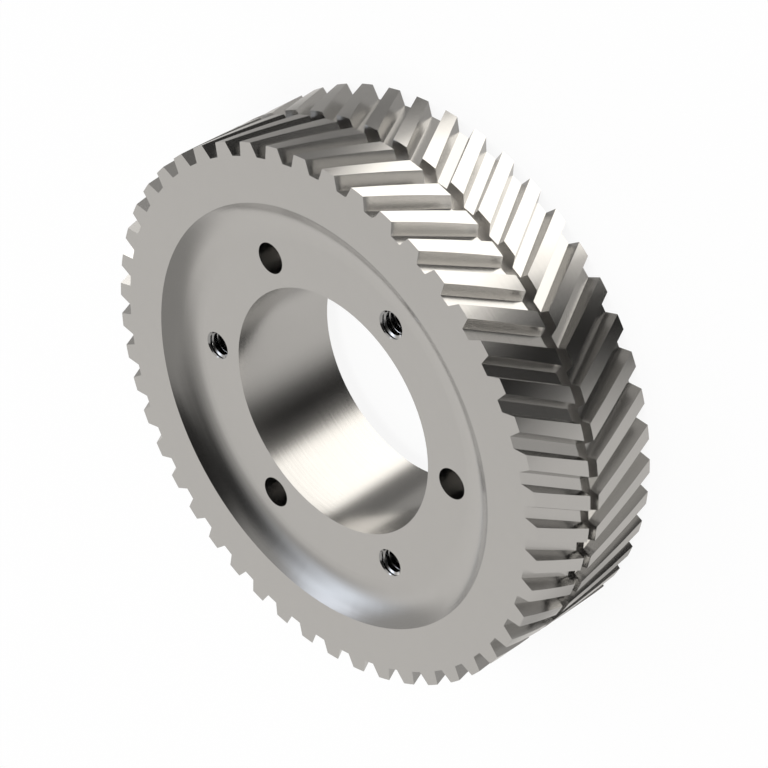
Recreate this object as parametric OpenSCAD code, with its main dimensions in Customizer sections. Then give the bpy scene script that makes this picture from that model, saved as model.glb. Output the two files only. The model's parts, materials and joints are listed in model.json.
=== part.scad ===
// Herringbone gear wheel, machined from one piece of steel.
// It lies on its back rim face: the axis is +Z and the wide end of the tapered bore is up.
// Angle 0 is +X, where one plain screw hole and one tooth gap stand.

/* [Wheel] */
// Diameter over the tooth tips
outside_d = 120.9; // [114:0.1:150]
// Width over both rim faces
wheel_w = 32.9; // [28:0.1:48]

/* [Teeth] */
// Number of teeth in each row
teeth = 48; // [30:1:54]
// Depth of a tooth gap below the tips
gap_depth = 3.05; // [2:0.05:3.4]
// Width of a gap along its flat floor, measured in the end face
gap_floor_w = 2.54; // [1.6:0.02:2.8]
// Slope of a flank from the gap's centre line
flank_angle = 20; // [12:0.5:22]
// Angle between a tooth and the axis
helix_angle = 30; // [15:1:35]
// Turn of the back row against the front row
row_stagger = 1; // [0:0.1:3]

/* [Middle groove] */
// Width of the groove that parts the two rows
groove_w = 2.45; // [1.6:0.05:3]
// Depth of the groove below the tips, to the bottom of its round floor
groove_depth = 3.8; // [3.8:0.05:6]

/* [Dished faces] */
// Depth of the web below each rim face
dish_depth = 3.9; // [2:0.1:5]
// Diameter of the dish at the rim face
dish_d = 95; // [92:0.1:100]
// Radius of the dish wall's curve, which runs out into the flat web
dish_wall_r = 12.7; // [6:0.1:12.7]

/* [Tapered bore] */
// Bore diameter at its wide end, in the front web face
bore_d = 55.23; // [40:0.01:58]
// Diameter lost for each unit of length
bore_taper = 0.0625; // [0:0.0025:0.1]

/* [Screw holes] */
// Diameter of the circle that all the screw holes stand on
bolt_circle_d = 68.26; // [66:0.01:68.6]
// Number of plain holes, with a tapped hole half way to the next one
plain_holes = 3; // [2:1:4]
// Diameter of a plain hole
plain_hole_d = 6.9; // [4:0.1:7]
// Diameter of a tapped hole at the thread's crests
tapped_hole_d = 5.1; // [3.2:0.05:5.6]
// Diameter of the countersink at each end of a tapped hole
countersink_d = 6.3; // [6:0.05:7]

/* [Hidden] */
$fn = 96;

tip_r = outside_d / 2;
gap_floor_r = tip_r - gap_depth;
gap_pitch = 360 / teeth;
mid_z = wheel_w / 2;
web_back_z = dish_depth;
web_front_z = wheel_w - dish_depth;
// The dish wall's curve touches the web here
web_flat_r = dish_d / 2 - sqrt(2 * dish_depth * dish_wall_r - pow(dish_depth, 2));
countersink_depth = (countersink_d - tapped_hole_d) / 2;
// Cutters run past the faces that they open
overrun = 1;
slot_l = (wheel_w + 4 * gap_floor_w) / cos(helix_angle);

module herringbone_gear() {
    color([0.68, 0.66, 0.64])
        difference() {
            blank();
            front_row_gaps();
            back_row_gaps();
            tapered_bore();
            screw_holes(first_angle = 0)
                plain_hole();
            screw_holes(first_angle = 180 / plain_holes)
                tapped_hole();
        }
}

// The turned wheel before its teeth, bore and holes are cut
module blank() {
    rotate_extrude()
        difference() {
            square([tip_r, wheel_w]);
            translate([0, web_front_z])
                dish_section();
            translate([0, web_back_z])
                mirror([0, 1])
                    dish_section();
            groove_section();
        }
}

// What the dish takes out of the half section, above a web face at height 0
module dish_section() {
    square([web_flat_r, dish_depth + overrun]);
    translate([web_flat_r, dish_wall_r])
        circle(r = dish_wall_r);
}

// The groove has upright walls and a full round floor
module groove_section() {
    floor_centre_r = tip_r - groove_depth + groove_w / 2;
    translate([floor_centre_r, mid_z]) {
        circle(d = groove_w);
        translate([0, -groove_w / 2])
            square([groove_depth, groove_w]);
    }
}

module front_row_gaps() {
    intersection() {
        translate([0, 0, mid_z])
            cylinder(r = tip_r + 2 * gap_depth, h = mid_z + overrun);
        row_gaps(end_z = wheel_w, lean = -helix_angle);
    }
}

module back_row_gaps() {
    intersection() {
        translate([0, 0, -overrun])
            cylinder(r = tip_r + 2 * gap_depth, h = mid_z + overrun);
        rotate([0, 0, -row_stagger])
            row_gaps(end_z = 0, lean = helix_angle);
    }
}

// Straight gaps that start on the radial lines of the end face at end_z
module row_gaps(end_z, lean) {
    for (i = [0 : teeth - 1])
        rotate([0, 0, i * gap_pitch])
            translate([0, 0, end_z])
                rotate([lean, 0, 0])
                    linear_extrude(height = slot_l, center = true)
                        gap_section();
}

// A gap's section square to its run: X is outward, and the widths are those of the end face
// foreshortened by the helix angle
module gap_section() {
    rise = gap_depth + overrun;
    floor_half = cos(helix_angle) * gap_floor_w / 2;
    mouth_half = floor_half + cos(helix_angle) * rise * tan(flank_angle);
    translate([gap_floor_r, 0])
        polygon([
            [0, -floor_half],
            [rise, -mouth_half],
            [rise, mouth_half],
            [0, floor_half]
        ]);
}

module tapered_bore() {
    wide_r = bore_d / 2;
    slope = bore_taper / 2;
    cylinder(
        h = wheel_w,
        r1 = wide_r - slope * web_front_z,
        r2 = wide_r + slope * (wheel_w - web_front_z)
    );
}

// Places its child at every second place on the bolt circle, with the web's back face at height 0
module screw_holes(first_angle) {
    for (i = [0 : plain_holes - 1])
        rotate([0, 0, first_angle + i * 360 / plain_holes])
            translate([bolt_circle_d / 2, 0, web_back_z])
                children();
}

module plain_hole() {
    translate([0, 0, -overrun])
        cylinder(d = plain_hole_d, h = web_front_z - web_back_z + 2 * overrun);
}

module tapped_hole() {
    web_t = web_front_z - web_back_z;
    translate([0, 0, -overrun])
        cylinder(d = tapped_hole_d, h = web_t + 2 * overrun);
    translate([0, 0, web_t])
        countersink();
    mirror([0, 0, 1])
        countersink();
}

// A 45 degree countersink that opens upwards in a face at height 0
module countersink() {
    translate([0, 0, -countersink_depth])
        cylinder(
            d1 = tapped_hole_d,
            d2 = countersink_d + 2 * overrun,
            h = countersink_depth + overrun
        );
}

herringbone_gear();
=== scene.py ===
"""Looks of a herringbone gear wheel: its machined steel, its tapped threads and the studio."""

import json
import math
from typing import NamedTuple

import bpy
from bpy.props import FloatProperty, FloatVectorProperty, PointerProperty
from mathutils import Euler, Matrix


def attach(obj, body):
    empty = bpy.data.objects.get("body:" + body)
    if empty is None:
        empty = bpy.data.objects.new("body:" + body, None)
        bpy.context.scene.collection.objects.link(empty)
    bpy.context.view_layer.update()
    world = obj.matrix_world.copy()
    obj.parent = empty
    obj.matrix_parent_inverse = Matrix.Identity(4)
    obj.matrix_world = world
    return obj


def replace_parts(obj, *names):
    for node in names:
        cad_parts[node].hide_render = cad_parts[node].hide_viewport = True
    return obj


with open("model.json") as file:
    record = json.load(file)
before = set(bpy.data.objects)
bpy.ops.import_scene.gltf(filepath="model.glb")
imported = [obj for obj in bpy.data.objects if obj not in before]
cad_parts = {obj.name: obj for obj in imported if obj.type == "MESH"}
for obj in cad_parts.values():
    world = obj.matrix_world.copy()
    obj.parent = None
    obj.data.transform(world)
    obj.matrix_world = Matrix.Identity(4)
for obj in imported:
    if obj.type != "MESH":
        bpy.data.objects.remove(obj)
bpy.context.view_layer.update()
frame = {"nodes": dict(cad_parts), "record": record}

bl_info = {
    "name": "Herringbone Wheel",
    "version": (1, 0, 0),
    "blender": (4, 5, 0),
    "location": "3D View > Sidebar > Wheel",
    "description": "Finishes a machined herringbone wheel and sets it in a small studio",
    "category": "Object",
}

WHEEL = "herringbone_gear"
MOUNTS = {mount["name"]: mount for mount in frame["record"]["mounts"]}
TAPPED = MOUNTS["tapped_holes"]["dims"]
MM = 0.001
TIP_RADIUS = max(vertex.co.x for vertex in frame["nodes"][WHEEL].data.vertices)
# Height of the middle plane, where the two rows of teeth meet
MIDDLE = max(vertex.co.z for vertex in frame["nodes"][WHEEL].data.vertices) / 2
# Faces that meet at more than this angle have a sharp edge between them
SHARP_ANGLE = math.radians(28)


# Settings


class ThreadSettings(bpy.types.PropertyGroup):
    pitch: FloatProperty(
        name="Pitch",
        description="Rise of the thread in one turn",
        default=1.27 * MM,
        precision=5,
        unit="LENGTH",
    )
    crest_radius: FloatProperty(
        name="Crest radius",
        description="Radius of the hole at the thread's crests",
        default=TAPPED["hole_r_mm"] * MM,
        precision=5,
        unit="LENGTH",
    )
    root_radius: FloatProperty(
        name="Root radius",
        description="Radius of the hole at the thread's roots",
        default=3.12 * MM,
        precision=5,
        unit="LENGTH",
    )
    mouth_radius: FloatProperty(
        name="Mouth radius",
        description="Radius of the countersink in each web face",
        default=3.15 * MM,
        precision=5,
        unit="LENGTH",
    )


class GrooveSettings(bpy.types.PropertyGroup):
    width: FloatProperty(
        name="Width",
        description="Width of the middle groove",
        default=2.45 * MM,
        precision=5,
        unit="LENGTH",
    )
    shallow_depth: FloatProperty(
        name="Shallow depth",
        description="Depth below the tips of the solid's own round floor, which is taken out",
        default=3.8 * MM,
        precision=5,
        unit="LENGTH",
    )
    depth: FloatProperty(
        name="Depth",
        description="Depth below the tips of the flat floor that is put in",
        default=5.6 * MM,
        precision=5,
        unit="LENGTH",
    )


class FinishSettings(bpy.types.PropertyGroup):
    steel: FloatVectorProperty(
        name="Steel",
        description="Colour of the bare metal",
        default=(0.585, 0.578, 0.567),
        size=3,
        subtype="COLOR",
    )
    # Painted light: brighter steel in the middle groove stands in for the light lost in its many
    # reflections
    groove_steel_painted_bright: FloatVectorProperty(
        name="Groove steel",
        description="Colour of the metal down in the middle groove, brighter than the rest",
        default=(0.725, 0.717, 0.705),
        size=3,
        subtype="COLOR",
    )
    # Painted light: the threads' brighter steel stands in for the light lost in their many
    # reflections deep in the holes, and is not the colour of freshly cut metal
    thread_steel_painted_bright: FloatVectorProperty(
        name="Thread steel",
        description="Colour of the freshly cut metal in the tapped holes",
        default=(0.86, 0.86, 0.86),
        size=3,
        subtype="COLOR",
    )
    mottle: FloatProperty(
        name="Mottle",
        description="How far the metal's brightness wanders from place to place, as a share of it",
        default=0.03,
        min=0.0,
        max=1.0,
        subtype="FACTOR",
    )
    roughness: FloatProperty(
        name="Roughness",
        description="How widely the machined faces spread a reflection",
        default=0.22,
        min=0.0,
        max=1.0,
        subtype="FACTOR",
    )
    thread_roughness: FloatProperty(
        name="Thread roughness",
        description="How widely the cut threads spread a reflection",
        default=0.09,
        min=0.0,
        max=1.0,
        subtype="FACTOR",
    )
    roughness_drift: FloatProperty(
        name="Roughness drift",
        description="How far the roughness wanders from place to place",
        default=0.03,
        min=0.0,
        max=1.0,
        subtype="FACTOR",
    )
    mark_width: FloatProperty(
        name="Turning mark width",
        description="Distance between the broadest marks that the turning tool left",
        default=0.9 * MM,
        precision=5,
        unit="LENGTH",
    )
    mark_depth: FloatProperty(
        name="Turning mark depth",
        description="Depth of the turning marks",
        default=0.006 * MM,
        precision=6,
        unit="LENGTH",
    )


class StudioSettings(bpy.types.PropertyGroup):
    light_tint: FloatVectorProperty(
        name="Light tint",
        description="Colour of all the light on the metal",
        default=(1.026, 1.0, 0.961),
        size=3,
        subtype="COLOR",
    )
    floor_colour: FloatVectorProperty(
        name="Floor",
        description="Colour of the floor where light and shadow fall on it",
        default=(0.92, 0.92, 0.92),
        size=3,
        subtype="COLOR",
    )
    floor_glow: FloatProperty(
        name="Floor glow",
        description="Share of the floor that is plain white and takes no shadow",
        default=0.9,
        min=0.0,
        max=1.0,
        subtype="FACTOR",
    )
    lens: FloatProperty(
        name="Lens",
        description="Focal length of the camera",
        default=136.526 * MM,
        unit="CAMERA",
    )


# Shader maths


class Graph:
    """Adds nodes to the tree of one material or world."""

    def __init__(self, tree):
        self.tree = tree
        tree.nodes.clear()

    def add(self, kind, settings=None, inputs=None):
        node = self.tree.nodes.new(kind)
        for name, value in (settings or {}).items():
            setattr(node, name, value)
        for name, value in (inputs or {}).items():
            self.feed(node.inputs[name], value)
        return node

    def feed(self, socket, value):
        if isinstance(value, Signal):
            self.tree.links.new(value.socket, socket)
        elif isinstance(value, bpy.types.NodeSocket):
            self.tree.links.new(value, socket)
        else:
            socket.default_value = value

    def math(self, operation, *values):
        node = self.add("ShaderNodeMath", {"operation": operation}, dict(enumerate(values)))
        return Signal(self, node.outputs[0])

    def ramp_up(self, value, low, high):
        """0 at low and 1 at high, with soft ends. It falls instead where high is the smaller."""
        node = self.add(
            "ShaderNodeMapRange",
            {"interpolation_type": "SMOOTHSTEP"},
            {"Value": value, "From Min": low, "From Max": high, "To Min": 0.0, "To Max": 1.0},
        )
        return Signal(self, node.outputs["Result"])

    def root(self, value):
        return self.math("SQRT", value)

    def noise(self, place, size, detail):
        """Noise from 0 to 1 with spots about size across, along a Signal or through space."""
        line = isinstance(place, Signal)
        node = self.add(
            "ShaderNodeTexNoise",
            {"noise_dimensions": "1D" if line else "3D"},
            {"W" if line else "Vector": place, "Scale": 1 / size, "Detail": detail},
        )
        return Signal(self, node.outputs[0])

    def scale(self, vector, factor):
        node = self.add("ShaderNodeVectorMath", {"operation": "SCALE"})
        self.feed(node.inputs["Vector"], vector)
        self.feed(node.inputs["Scale"], factor)
        return node.outputs["Vector"]

    def split(self, vector):
        node = self.add("ShaderNodeSeparateXYZ", inputs={"Vector": vector})
        return [Signal(self, output) for output in node.outputs]

    def mix_colours(self, factor, first, second):
        node = self.add("ShaderNodeMix", {"data_type": "RGBA"})
        self.feed(node.inputs["Factor"], factor)
        sockets = [socket for socket in node.inputs if socket.type == "RGBA"]
        self.feed(sockets[0], first)
        self.feed(sockets[1], second)
        return [output for output in node.outputs if output.type == "RGBA"][0]


class Signal:
    """A shader value that is used in Python expressions."""

    def __init__(self, graph, socket):
        self.graph = graph
        self.socket = socket

    def __add__(self, other):
        return self.graph.math("ADD", self, other)

    __radd__ = __add__

    def __sub__(self, other):
        return self.graph.math("SUBTRACT", self, other)

    def __mul__(self, other):
        return self.graph.math("MULTIPLY", self, other)

    __rmul__ = __mul__

    def __truediv__(self, other):
        return self.graph.math("DIVIDE", self, other)

    def __abs__(self):
        return self.graph.math("ABSOLUTE", self)


def rgba(colour):
    return (*colour, 1.0)


# Wheel


def add_object(name, data):
    item = bpy.data.objects.new(name, data)
    bpy.context.scene.collection.objects.link(item)
    return item


def tapped_hole_axes():
    """Where the axes of the tapped holes stand, half way between the plain ones."""
    radius = TAPPED["pcd_mm"] / 2 * MM
    count = TAPPED["count"]
    angles = [(2 * i + 1) * math.pi / count for i in range(count)]
    return [(radius * math.cos(a), radius * math.sin(a)) for a in angles]


def add_piece(name, mesh):
    piece = add_object(name, mesh)
    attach(piece, "root")
    return piece


def opened_wheel(thread, groove):
    """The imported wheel's own faces and normals, less two kinds of wall that new pieces replace:
    the plain walls of the tapped holes, and the round floor of the groove."""
    source = frame["nodes"][WHEEL].data
    points = [vertex.co for vertex in source.vertices]
    axes = tapped_hole_axes()
    # How far a corner may be off the size that is looked for
    hole_slack = 0.01 * MM
    groove_slack = 0.004 * MM
    reach = thread.mouth_radius + hole_slack
    half = groove.width / 2
    floor_low = TIP_RADIUS - groove.shallow_depth - groove_slack
    floor_high = TIP_RADIUS - groove.shallow_depth + half + groove_slack

    def in_hole(index):
        x, y, _ = points[index]
        return any(math.hypot(x - ax, y - ay) < reach for ax, ay in axes)

    def on_groove_floor(index):
        x, y, z = points[index]
        within = abs(z - MIDDLE) < half + groove_slack
        return within and floor_low < math.hypot(x, y) < floor_high

    kept = []
    for face in source.polygons:
        hole_wall = all(map(in_hole, face.vertices))
        groove_floor = all(map(on_groove_floor, face.vertices))
        if not hole_wall and not groove_floor:
            kept.append(face)
    mesh = bpy.data.meshes.new("toothed_wheel")
    mesh.from_pydata(points, [], [tuple(face.vertices) for face in kept])
    normals = [source.corner_normals[i].vector for face in kept for i in face.loop_indices]
    mesh.shade_smooth()
    mesh.normals_split_custom_set(normals)
    return mesh


def deep_groove(groove):
    """Walls that run on down from the solid's own, and a flat floor between them."""
    # Sections in one turn
    steps = 288
    # How far the walls reach up past the lowest edge of the solid's own
    overlap = 0.02 * MM
    half = groove.width / 2
    start = TIP_RADIUS - groove.shallow_depth + half + overlap
    floor = TIP_RADIUS - groove.depth
    section = ((start, half), (floor, half), (floor, -half), (start, -half))
    count = len(section)
    points = []
    faces = []
    for step in range(steps):
        angle = 2 * math.pi * step / steps
        for radius, height in section:
            z = MIDDLE + height
            points.append((radius * math.cos(angle), radius * math.sin(angle), z))
        ahead = (step + 1) % steps
        for i in range(count - 1):
            corner = step * count + i
            beside = ahead * count + i
            faces.append((corner, corner + 1, beside + 1, beside))
    mesh = bpy.data.meshes.new("groove_floor")
    mesh.from_pydata(points, [], faces)
    mesh.shade_smooth()
    mesh.set_sharp_from_angle(angle=SHARP_ANGLE)
    return mesh


def thread_section(thread):
    """One turn of a 60 degree thread: pairs of height and radius, from the middle of a root up."""
    flank = (thread.root_radius - thread.crest_radius) * math.tan(math.radians(30))
    # The flat root's share of what the flanks leave of the pitch. The flat crest has the rest
    root_share = 0.4
    half_root = root_share * (thread.pitch - 2 * flank) / 2
    corners = (
        (0.0, thread.root_radius),
        (half_root, thread.root_radius),
        (half_root + flank, thread.crest_radius),
        (thread.pitch - half_root - flank, thread.crest_radius),
        (thread.pitch - half_root, thread.root_radius),
        (thread.pitch, thread.root_radius),
    )
    # Points along each side, so that the countersink cuts it cleanly
    steps = 3
    section = []
    for (low, first), (high, second) in zip(corners, corners[1:]):
        for i in range(steps):
            share = i / steps
            section.append((low + (high - low) * share, first + (second - first) * share))
    return section


def threaded_walls(thread, low, high):
    """The walls of all the tapped holes: a thread that runs out into a countersink at each face."""
    # Sections in one turn
    steps = 72
    section = thread_section(thread)
    count = len(section)
    turns = math.ceil((high - low) / thread.pitch) + 2
    total = turns * steps
    points = []
    faces = []
    for axis_x, axis_y in tapped_hole_axes():
        first = len(points)
        for step in range(total + 1):
            angle = 2 * math.pi * step / steps
            climb = low + thread.pitch * (step / steps - 1)
            for height, radius in section:
                z = min(max(climb + height, low), high)
                countersink = thread.mouth_radius - min(z - low, high - z)
                radius = max(radius, countersink)
                x = axis_x + radius * math.cos(angle)
                y = axis_y + radius * math.sin(angle)
                points.append((x, y, z))
        for step in range(total):
            for i in range(count):
                corner = first + step * count + i
                # A section's last point is joined to the first one of the turn above
                top = corner + 1 if i < count - 1 else first + (step + steps) * count
                if top + count >= len(points):
                    continue
                face = (corner, corner + count, top + count, top)
                # Turns past a web face are flattened into it, and are left out
                if len({points[j][2] for j in face}) > 1:
                    faces.append(face)
    mesh = bpy.data.meshes.new("tapped_threads")
    mesh.from_pydata(points, [], faces)
    mesh.flip_normals()
    mesh.shade_smooth()
    mesh.set_sharp_from_angle(angle=SHARP_ANGLE)
    return mesh


class WHEEL_OT_wheel(bpy.types.Operator):
    """Open the tapped holes and the groove of the solid wheel"""

    bl_idname = "wheel.wheel"
    bl_label = "Open the wheel"

    def execute(self, context):
        scene = context.scene
        mesh = opened_wheel(scene.wheel_thread, scene.wheel_groove)
        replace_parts(add_piece("toothed_wheel", mesh), WHEEL)
        return {"FINISHED"}


class WHEEL_OT_groove(bpy.types.Operator):
    """Deepen the middle groove"""

    bl_idname = "wheel.groove"
    bl_label = "Deepen the groove"

    def execute(self, context):
        add_piece("groove_floor", deep_groove(context.scene.wheel_groove))
        return {"FINISHED"}


class WHEEL_OT_threads(bpy.types.Operator):
    """Cut the threads of the tapped holes"""

    bl_idname = "wheel.threads"
    bl_label = "Cut the threads"

    def execute(self, context):
        web = MOUNTS["taper_bore"]
        high = web["pos_m"][2]
        low = high - web["dims"]["length_mm"] * MM
        add_piece("tapped_threads", threaded_walls(context.scene.wheel_thread, low, high))
        return {"FINISHED"}


# Steel


def machined_steel(name, finish, groove, steel, roughness):
    material = bpy.data.materials.new(name)
    material.use_nodes = True
    graph = Graph(material.node_tree)
    out = graph.add("ShaderNodeOutputMaterial")
    place = graph.add("ShaderNodeTexCoord").outputs["Object"]

    # The marks follow one another outwards on a flat face and along the axis on a round one
    x, y, z = graph.split(place)
    radius = graph.root(x * x + y * y)
    aside = abs(z - MIDDLE)
    marks = graph.noise(radius + aside, finish.mark_width, detail=3.0)
    # No face that the lathe turned leans along the wheel's edge, and the teeth's flanks all do
    normal = graph.add("ShaderNodeNewGeometry").outputs["Normal"]
    normal_x, normal_y, _ = graph.split(normal)
    lean = abs(normal_y * x - normal_x * y) / radius
    flank_lean = 0.3
    lathe_lean = 0.05
    turned = graph.ramp_up(lean, flank_lean, lathe_lean)
    bump = graph.add(
        "ShaderNodeBump",
        inputs={"Strength": 1.0, "Distance": finish.mark_depth, "Height": marks * turned},
    )

    # The groove's painted light, a brighter steel that stands in for the light lost in its many
    # reflections, ends just outside its walls, and well below its floor
    half = groove.width / 2
    near_wall = half + 0.01 * MM
    past_wall = half + 0.04 * MM
    painted_light_in_groove = graph.ramp_up(aside, past_wall, near_wall)
    in_rim = graph.ramp_up(radius, 0.8 * TIP_RADIUS, 0.85 * TIP_RADIUS)
    # Painted light: the groove takes the brighter steel, which stands in for light its reflections
    # lose
    colour = graph.mix_colours(painted_light_in_groove * in_rim, rgba(steel), rgba(finish.groove_steel_painted_bright))

    broad_size = 14 * MM
    fine_size = 2.5 * MM
    broad = graph.noise(place, broad_size, detail=2.0) - 0.5
    fine = graph.noise(place, fine_size, detail=3.0) - 0.5
    bsdf = graph.add(
        "ShaderNodeBsdfPrincipled",
        inputs={
            "Base Color": graph.scale(colour, 1.0 + finish.mottle * (broad + fine)),
            "Metallic": 1.0,
            "Roughness": roughness + finish.roughness_drift * broad,
            "Normal": bump.outputs["Normal"],
        },
    )
    graph.feed(out.inputs["Surface"], bsdf.outputs["BSDF"])
    return material


class WHEEL_OT_finish(bpy.types.Operator):
    """Give the wheel its machined steel, with painted light that brightens the groove and the
    tapped holes
    """

    bl_idname = "wheel.finish"
    bl_label = "Finish the wheel"

    def execute(self, context):
        finish = context.scene.wheel_finish
        groove = context.scene.wheel_groove
        steel = machined_steel("machined_steel", finish, groove, finish.steel, finish.roughness)
        for name in ("toothed_wheel", "groove_floor"):
            bpy.data.objects[name].data.materials.append(steel)
        # Painted light: the threads take a brighter steel that stands in for the light lost in the
        # holes
        thread_steel_with_painted_light = machined_steel(
            "thread_steel_with_painted_light", finish, groove, finish.thread_steel_painted_bright, finish.thread_roughness
        )
        bpy.data.objects["tapped_threads"].data.materials.append(thread_steel_with_painted_light)
        return {"FINISHED"}


# Studio


FLOOR_RADIUS = 3.0
# The floor stays this far clear of the face that the wheel lies on
FLOOR_GAP = 0.02 * MM
# The floor loses its shadows between these distances from the wheel
FADE_START = 1.0
FADE_END = 2.4
BACKDROP_RADIUS = 5.0
LIGHT_STRENGTH = 2.2
# Angle across the overhead light as the wheel sees it
LIGHT_SPREAD = math.radians(50)
LIGHT_TURN = (math.radians(12), 0.0, math.radians(15))
CAMERA_PLACE = (0.12675, -0.47395, 0.36402)
CAMERA_TURN = (math.radians(-35.0208), math.radians(44.8201), math.radians(-119.8098))


class Card(NamedTuple):
    """A lit or dark card round the wheel, seen from its centre. It fades out over its edge.
    All its measures are angles in degrees."""

    name: str
    azimuth: float
    elevation: float
    half_width: float
    half_height: float
    edge: float
    colour: tuple


# Light from where there is no card
ROOM = (0.37, 0.37, 0.37)
# A later card covers those before it
CARDS = (
    Card("dark ceiling", 0, 90, 180, 22, 28, (0.02, 0.02, 0.02)),
    Card("dark behind the camera", 270, 43, 47, 38, 26, (0.02, 0.02, 0.02)),
    Card("cool key box", 45, 51, 33, 2, 40, (2.05, 2.28, 2.67)),
    Card("cool fill box", 24, 41, 16, 5, 12, (1.40, 1.52, 1.75)),
    Card("wall card", 106, -10, 31, 57, 17, (0.73, 0.73, 0.73)),
    Card("white strip", 21, 7, 12, 8, 4, (2.40, 2.40, 2.40)),
    Card("low white box", 332, -50, 42, 25, 16, (2.22, 2.20, 2.15)),
    Card("low dark card", 261, -43, 15, 18, 21, (0.0, 0.0, 0.0)),
    Card("dark card by the camera", 279, -20, 17, 14, 15, (0.0, 0.0, 0.0)),
    Card("box by the camera", 253, 0, 27, 8, 15, (2.75, 2.75, 2.72)),
    Card("low grey card", 194, -39, 39, 15, 28, (0.71, 0.71, 0.71)),
    Card("low shade", 22, -22, 17, 17, 12, (0.18, 0.18, 0.18)),
    Card("side card", 180, 33, 34, 24, 7, (0.31, 0.31, 0.31)),
)


def light_studio(world, tint):
    world.use_nodes = True
    graph = Graph(world.node_tree)
    out = graph.add("ShaderNodeOutputWorld")
    coordinates = graph.add("ShaderNodeTexCoord")
    x, y, z = graph.split(coordinates.outputs["Generated"])
    azimuth = graph.math("ARCTAN2", y, x) * math.degrees(1)
    elevation = graph.math("ARCSINE", z) * math.degrees(1)
    light = rgba(ROOM)
    for card in CARDS:
        # This is the angle between the two directions the short way round
        aside = graph.math("PINGPONG", azimuth - card.azimuth, 180.0)
        above = abs(elevation - card.elevation)
        edge = card.edge / 2
        across = graph.ramp_up(aside, card.half_width + edge, card.half_width - edge)
        along = graph.ramp_up(above, card.half_height + edge, card.half_height - edge)
        light = graph.mix_colours(across * along, light, rgba(card.colour))
    tinted = graph.add("ShaderNodeVectorMath", {"operation": "MULTIPLY"}, {0: light, 1: tint})
    background = graph.add(
        "ShaderNodeBackground",
        inputs={"Color": tinted.outputs["Vector"], "Strength": 1.0},
    )
    graph.feed(out.inputs["Surface"], background.outputs["Background"])


def disc(name, radius):
    count = 96
    corners = [2 * math.pi * i / count for i in range(count)]
    points = [(radius * math.cos(a), radius * math.sin(a), 0.0) for a in corners]
    mesh = bpy.data.meshes.new(name)
    mesh.from_pydata(points, [], [tuple(range(count))])
    return add_object(name, mesh)


def glow_shader(graph):
    """Plain white that needs no light."""
    glow = graph.add("ShaderNodeEmission", inputs={"Color": rgba((1.0, 1.0, 1.0))})
    return glow.outputs["Emission"]


def floor_material(colour, glow_share):
    material = bpy.data.materials.new("pale_floor")
    material.use_nodes = True
    graph = Graph(material.node_tree)
    out = graph.add("ShaderNodeOutputMaterial")
    coordinates = graph.add("ShaderNodeTexCoord")
    distance = graph.add(
        "ShaderNodeVectorMath",
        {"operation": "LENGTH"},
        {"Vector": coordinates.outputs["Object"]},
    ).outputs["Value"]
    far = graph.ramp_up(distance, FADE_START, FADE_END)
    share = glow_share + (1.0 - glow_share) * far
    matt = graph.add("ShaderNodeBsdfDiffuse", inputs={"Color": rgba(colour)})
    mix = graph.add(
        "ShaderNodeMixShader",
        inputs={0: share, 1: matt.outputs["BSDF"], 2: glow_shader(graph)},
    )
    graph.feed(out.inputs["Surface"], mix.outputs["Shader"])
    return material


def backdrop_material():
    material = bpy.data.materials.new("pale_backdrop")
    material.use_nodes = True
    graph = Graph(material.node_tree)
    out = graph.add("ShaderNodeOutputMaterial")
    graph.feed(out.inputs["Surface"], glow_shader(graph))
    return material


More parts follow.
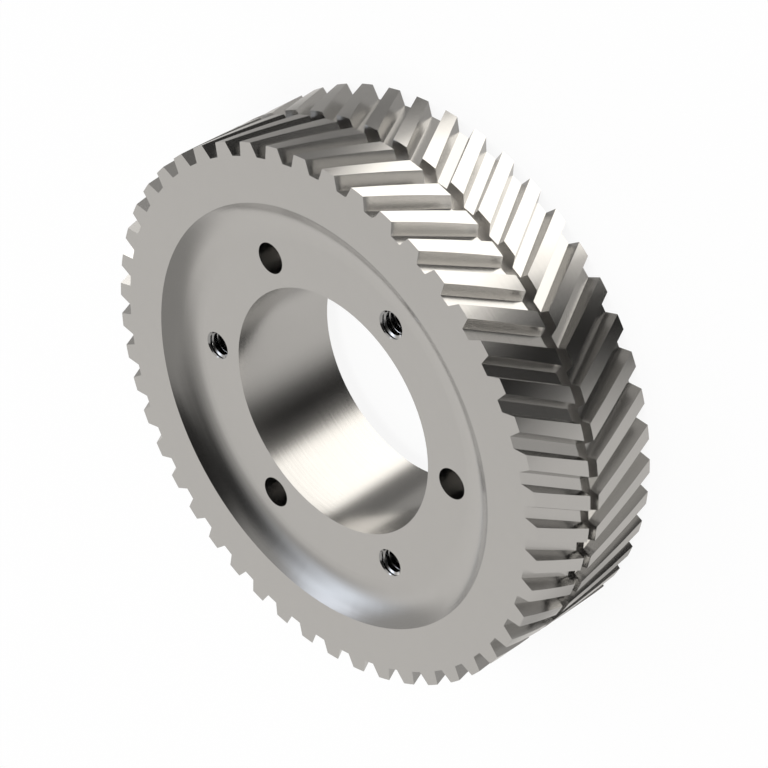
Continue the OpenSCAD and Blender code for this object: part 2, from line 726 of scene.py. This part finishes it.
class WHEEL_OT_studio(bpy.types.Operator):
    """Build the floor, the backdrop, the light and the camera"""

    bl_idname = "wheel.studio"
    bl_label = "Build the studio"

    def execute(self, context):
        studio = context.scene.wheel_studio
        ground = disc("floor", FLOOR_RADIUS)
        ground.location.z = -FLOOR_GAP
        ground.data.materials.append(floor_material(studio.floor_colour, studio.floor_glow))
        ground.visible_glossy = False
        bpy.ops.mesh.primitive_uv_sphere_add(
            segments=64, ring_count=32, radius=BACKDROP_RADIUS
        )
        dome = context.object
        dome.name = "backdrop"
        dome.data.materials.append(backdrop_material())
        dome.visible_glossy = False
        dome.visible_diffuse = False
        dome.visible_shadow = False
        dome.visible_transmission = False

        sky = bpy.data.lights.new("overhead_light", "SUN")
        sky.energy = LIGHT_STRENGTH
        sky.angle = LIGHT_SPREAD
        lamp = add_object("overhead_light", sky)
        lamp.rotation_euler = Euler(LIGHT_TURN)
        lamp.visible_glossy = False

        world = bpy.data.worlds.new("studio")
        context.scene.world = world
        light_studio(world, studio.light_tint)

        lens = bpy.data.cameras.new("camera")
        lens.lens = studio.lens / MM
        lens.sensor_width = 36.0
        camera = add_object("camera", lens)
        camera.location = CAMERA_PLACE
        camera.rotation_euler = Euler(CAMERA_TURN, "XYZ")
        context.scene.camera = camera
        context.scene.view_settings.view_transform = "Standard"
        return {"FINISHED"}


# Sidebar and registration


class WHEEL_PT_sidebar(bpy.types.Panel):
    """Lists the steps in the order in which they are run"""

    bl_label = "Herringbone wheel"
    bl_idname = "WHEEL_PT_sidebar"
    bl_space_type = "VIEW_3D"
    bl_region_type = "UI"
    bl_category = "Wheel"

    def draw(self, context):
        for operator in OPERATORS:
            self.layout.operator(operator.bl_idname)


OPERATORS = (
    WHEEL_OT_wheel,
    WHEEL_OT_groove,
    WHEEL_OT_threads,
    WHEEL_OT_finish,
    WHEEL_OT_studio,
)
GROUPS = {
    "wheel_groove": GrooveSettings,
    "wheel_thread": ThreadSettings,
    "wheel_finish": FinishSettings,
    "wheel_studio": StudioSettings,
}
CLASSES = (*GROUPS.values(), *OPERATORS, WHEEL_PT_sidebar)


def register():
    for item in CLASSES:
        bpy.utils.register_class(item)
    for name, group in GROUPS.items():
        setattr(bpy.types.Scene, name, PointerProperty(type=group))


def unregister():
    for name in GROUPS:
        delattr(bpy.types.Scene, name)
    for item in reversed(CLASSES):
        bpy.utils.unregister_class(item)


def main():
    register()
    bpy.ops.wheel.wheel()
    bpy.ops.wheel.groove()
    bpy.ops.wheel.threads()
    bpy.ops.wheel.finish()
    bpy.ops.wheel.studio()


if __name__ == "__main__":
    main()
